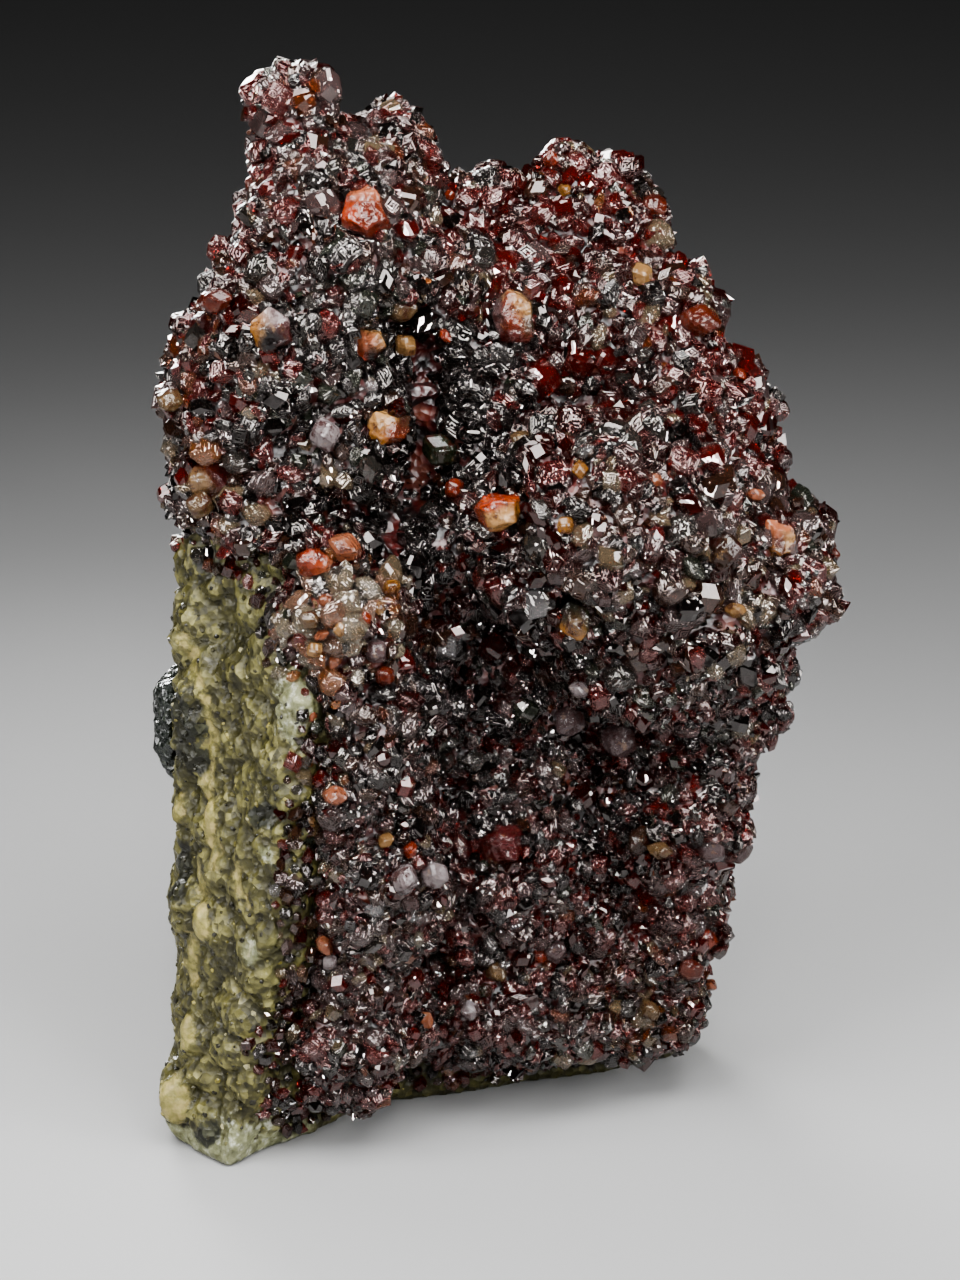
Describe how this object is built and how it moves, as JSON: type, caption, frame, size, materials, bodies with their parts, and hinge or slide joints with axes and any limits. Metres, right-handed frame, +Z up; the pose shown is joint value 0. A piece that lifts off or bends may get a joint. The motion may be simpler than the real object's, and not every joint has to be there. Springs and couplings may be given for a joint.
{
  "type": "garnet in matrix",
  "caption": "Upright hand specimen of deep red garnet: a knobbly crust of intergrown crystals over a broken olive-green matrix block with a flat-cut base.",
  "frame": {"origin": "middle of the flat face under the matrix, on which the specimen stands", "axes": "+Z up along the specimen's height, -Y towards the crystal face, +X to that face's right"},
  "size_m": [0.0627, 0.0475, 0.0981],
  "materials": {
    "olive_rock": "rough, granular",
    "garnet": "glossy crystal faces",
    "dark_rock": "rough, slightly glistening",
    "orange_garnet": "glossy crystal faces",
    "red_garnet": "glossy crystal faces"
  },
  "bodies": {
    "root": {"matrix": "olive_rock", "garnet_crust": "garnet", "dark_lump": "dark_rock", "orange_crystal_crown": "orange_garnet", "orange_crystal_brow": "orange_garnet", "orange_crystal_cleft": "orange_garnet", "orange_crystal_slope": "orange_garnet", "orange_crystal_fold": "orange_garnet", "orange_crystal_ledge": "orange_garnet", "orange_crystal_jaw": "orange_garnet", "orange_crystal_cheek": "orange_garnet", "orange_crystal_tip": "orange_garnet", "orange_crystal_bulge": "orange_garnet", "red_crystal_recess": "red_garnet"}
  },
  "joints": []
}
